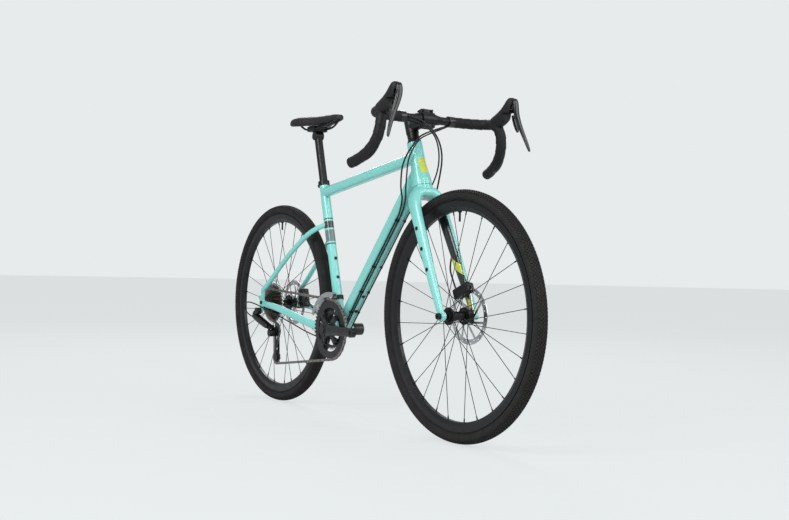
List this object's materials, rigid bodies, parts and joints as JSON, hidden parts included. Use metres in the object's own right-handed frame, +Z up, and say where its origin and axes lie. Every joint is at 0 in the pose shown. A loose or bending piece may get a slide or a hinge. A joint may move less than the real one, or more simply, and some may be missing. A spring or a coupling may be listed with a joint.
{
  "type": "gravel bike",
  "caption": "Gravel bike with drop handlebar, disc brakes, double chainset, derailleur gears, wide tyres and a sloping metal frame.",
  "frame": {"origin": "on the ground midway between the two wheel contacts, in the bike's middle plane", "axes": "+X forward, +Y to the rider's left, +Z up"},
  "size_m": [1.742, 0.5182, 0.9961],
  "materials": {
    "frame_paint": "glossy mint green paint",
    "tyre": "black rubber",
    "black_alloy": "black anodised",
    "grey_alloy": "dark grey anodised",
    "silver_steel": "plain steel",
    "spoke": "black steel",
    "bar_wrap": "black cork-like wrap",
    "hood_rubber": "matt black rubber",
    "lever_gloss": "gloss black",
    "saddle_cover": "black saddle cover",
    "rail_steel": "black rails",
    "housing": "black housing",
    "chain_steel": "grey steel",
    "pulley_plastic": "black plastic"
  },
  "bodies": {
    "frame": {"head_tube": "frame_paint", "top_tube": "frame_paint", "down_tube": "frame_paint", "seat_tube": "frame_paint", "bottom_bracket_shell": "frame_paint", "chainstays": "frame_paint", "seatstays": "frame_paint", "rear_dropouts": "frame_paint", "frame_inserts": "black_alloy", "seat_clamp": "black_alloy", "bottom_bracket_cups": "black_alloy", "headset_bearings": "silver_steel", "rear_axle": "black_alloy", "rear_caliper": "black_alloy", "cable_clips": "housing", "frame_cables": "housing", "chain": "chain_steel", "front_derailleur_base": "black_alloy", "rear_derailleur_base": "black_alloy"},
    "seat": {"seatpost": "black_alloy", "rail_clamp": "black_alloy", "saddle_rails": "rail_steel", "saddle": "saddle_cover"},
    "front_end": {"fork": "frame_paint", "fork_inserts": "black_alloy", "front_axle": "black_alloy", "front_caliper": "black_alloy", "fork_hose": "housing", "headset_spacers": "black_alloy", "stem": "black_alloy", "stem_faceplate": "black_alloy", "handlebar": "black_alloy", "bar_tape": "bar_wrap", "brake_hoods": "hood_rubber", "cable_loops": "housing"},
    "right_lever": {"right_brake_lever": "lever_gloss"},
    "left_lever": {"left_brake_lever": "lever_gloss"},
    "right_paddle": {"right_shift_paddle": "lever_gloss"},
    "left_paddle": {"left_shift_paddle": "lever_gloss"},
    "front_wheel": {"front_tyre": "tyre", "front_rim": "black_alloy", "front_spokes": "spoke", "front_hub": "black_alloy", "front_rotor": "silver_steel"},
    "rear_wheel": {"rear_tyre": "tyre", "rear_rim": "black_alloy", "rear_spokes": "spoke", "rear_hub": "black_alloy", "rear_rotor": "silver_steel"},
    "cassette": {"cassette": "silver_steel"},
    "crank": {"right_crank": "grey_alloy", "left_crank": "grey_alloy", "chainrings": "grey_alloy"},
    "front_cage": {"front_derailleur_cage": "silver_steel"},
    "outer_link": {"derailleur_outer_link": "black_alloy"},
    "inner_link": {"derailleur_inner_link": "black_alloy"},
    "lower_knuckle": {"derailleur_lower_knuckle": "black_alloy"},
    "rear_cage": {"derailleur_cage": "black_alloy"},
    "guide_wheel": {"guide_pulley": "pulley_plastic"},
    "tension_wheel": {"tension_pulley": "pulley_plastic"}
  },
  "joints": [
    {"name": "steering", "type": "hinge", "parent": "frame", "child": "front_end", "pos_m": [0.34171, 0, 0.71713], "axis": [-0.3256, 0, 0.9455], "range_deg": [-60, 60], "deforming": ["cable_loops"]},
    {"name": "seatpost_height", "type": "slide", "parent": "frame", "child": "seat", "axis": [-0.2672, 0, 0.9636], "range_m": [-0.06, 0.05]},
    {"name": "front_wheel_spin", "type": "hinge", "parent": "front_end", "child": "front_wheel", "pos_m": [0.521, 0, 0.35], "axis": [0, 1, 0], "continuous": true},
    {"name": "rear_wheel_spin", "type": "hinge", "parent": "frame", "child": "rear_wheel", "pos_m": [-0.521, 0, 0.35], "axis": [0, 1, 0], "continuous": true},
    {"name": "crank_spin", "type": "hinge", "parent": "frame", "child": "crank", "pos_m": [-0.09504, 0, 0.278], "axis": [0, 1, 0], "continuous": true, "deforming": ["chain"]},
    {"name": "cassette_spin", "type": "hinge", "parent": "frame", "child": "cassette", "pos_m": [-0.521, 0, 0.35], "axis": [0, 1, 0], "continuous": true},
    {"name": "brake_pull_right", "type": "hinge", "parent": "front_end", "child": "right_lever", "pos_m": [0.49112, -0.203, 0.95108], "axis": [0, 1, 0], "range_deg": [0, 16], "stiffness_Nm_per_rad": 2},
    {"name": "brake_pull_left", "type": "hinge", "parent": "front_end", "child": "left_lever", "pos_m": [0.49112, 0.203, 0.95108], "axis": [0, 1, 0], "range_deg": [0, 16], "stiffness_Nm_per_rad": 2},
    {"name": "shift_right", "type": "hinge", "parent": "right_lever", "child": "right_paddle", "pos_m": [0.49479, -0.21044, 0.92241], "axis": [1, 0, 0], "range_deg": [0, 12], "stiffness_Nm_per_rad": 0.5},
    {"name": "shift_left", "type": "hinge", "parent": "left_lever", "child": "left_paddle", "pos_m": [0.49479, 0.21044, 0.92241], "axis": [-1, 0, 0], "range_deg": [0, 12], "stiffness_Nm_per_rad": 0.5},
    {"name": "front_cage_shift", "type": "slide", "parent": "frame", "child": "front_cage", "axis": [0, 1, 0], "range_m": [0, 0.0068]},
    {"name": "rear_shift", "type": "hinge", "parent": "frame", "child": "outer_link", "pos_m": [-0.552, -0.0929, 0.306], "axis": [0.495, 0, 0.8689], "range_deg": [-13, 9]},
    {"name": "inner_link_swing", "type": "hinge", "parent": "frame", "child": "inner_link", "pos_m": [-0.552, -0.0809, 0.306], "axis": [0.495, 0, 0.8689], "range_deg": [-13.5, 9.5]},
    {"name": "lower_knuckle_swing", "type": "hinge", "parent": "outer_link", "child": "lower_knuckle", "pos_m": [-0.473, -0.068, 0.261], "axis": [0.495, 0, 0.8689], "range_deg": [-9.5, 13.5]},
    {"name": "cage_swing", "type": "hinge", "parent": "lower_knuckle", "child": "rear_cage", "pos_m": [-0.47, -0.0446, 0.245], "axis": [0, -1, 0], "range_deg": [-15, 28]},
    {"name": "guide_pulley_spin", "type": "hinge", "parent": "rear_cage", "child": "guide_wheel", "pos_m": [-0.463, -0.0446, 0.253], "axis": [0, 1, 0], "continuous": true},
    {"name": "tension_pulley_spin", "type": "hinge", "parent": "rear_cage", "child": "tension_wheel", "pos_m": [-0.45813, -0.0446, 0.16013], "axis": [0, 1, 0], "continuous": true}
  ],
  "couplings": [
    {"joint": "cassette_spin", "follows": "crank_spin", "ratio": 2},
    {"joint": "guide_pulley_spin", "follows": "crank_spin", "ratio": -4.3636},
    {"joint": "tension_pulley_spin", "follows": "crank_spin", "ratio": 4.3636},
    {"joint": "inner_link_swing", "follows": "rear_shift", "ratio": 1},
    {"joint": "lower_knuckle_swing", "follows": "rear_shift", "ratio": -1}
  ]
}
